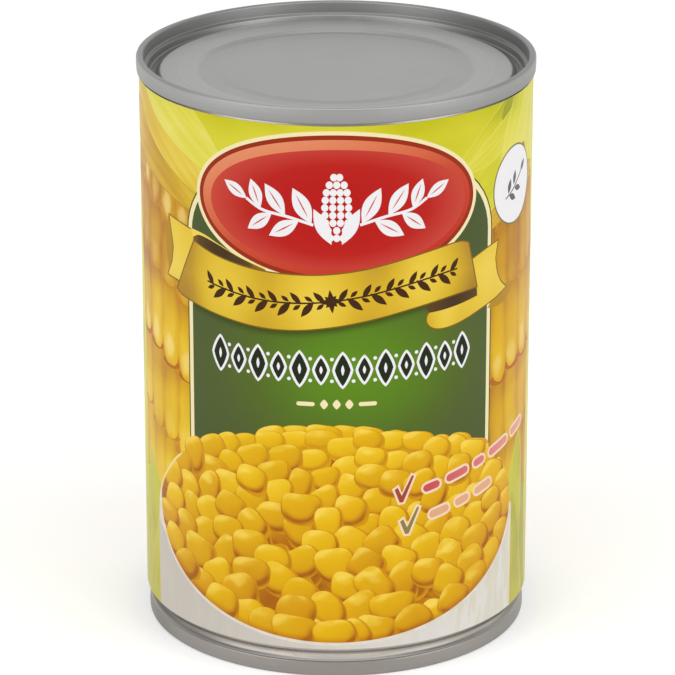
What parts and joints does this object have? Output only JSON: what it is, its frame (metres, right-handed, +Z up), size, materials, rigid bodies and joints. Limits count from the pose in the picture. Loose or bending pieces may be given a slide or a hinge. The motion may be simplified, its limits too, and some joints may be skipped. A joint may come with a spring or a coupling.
{
  "type": "can of sweet corn",
  "caption": "Standing tinplate food can of sweet corn, seamed at both ends, with a printed paper label.",
  "frame": {"origin": "middle of the ring that the can stands on, at the bottom of the lower seam", "axes": "+Z up along the can's axis, -Y to the front of the label, +X to the right seen from the front"},
  "size_m": [0.0742, 0.0742, 0.1104],
  "materials": {
    "tinplate_body": "bright rolled tinplate, satin",
    "tinplate_end": "rolled tinplate, satin, with turned beads",
    "label_paper": "printed paper with a gloss varnish"
  },
  "bodies": {
    "root": {"can_body": "tinplate_body", "bottom_end": "tinplate_end", "top_end": "tinplate_end", "label": "label_paper"}
  },
  "joints": []
}
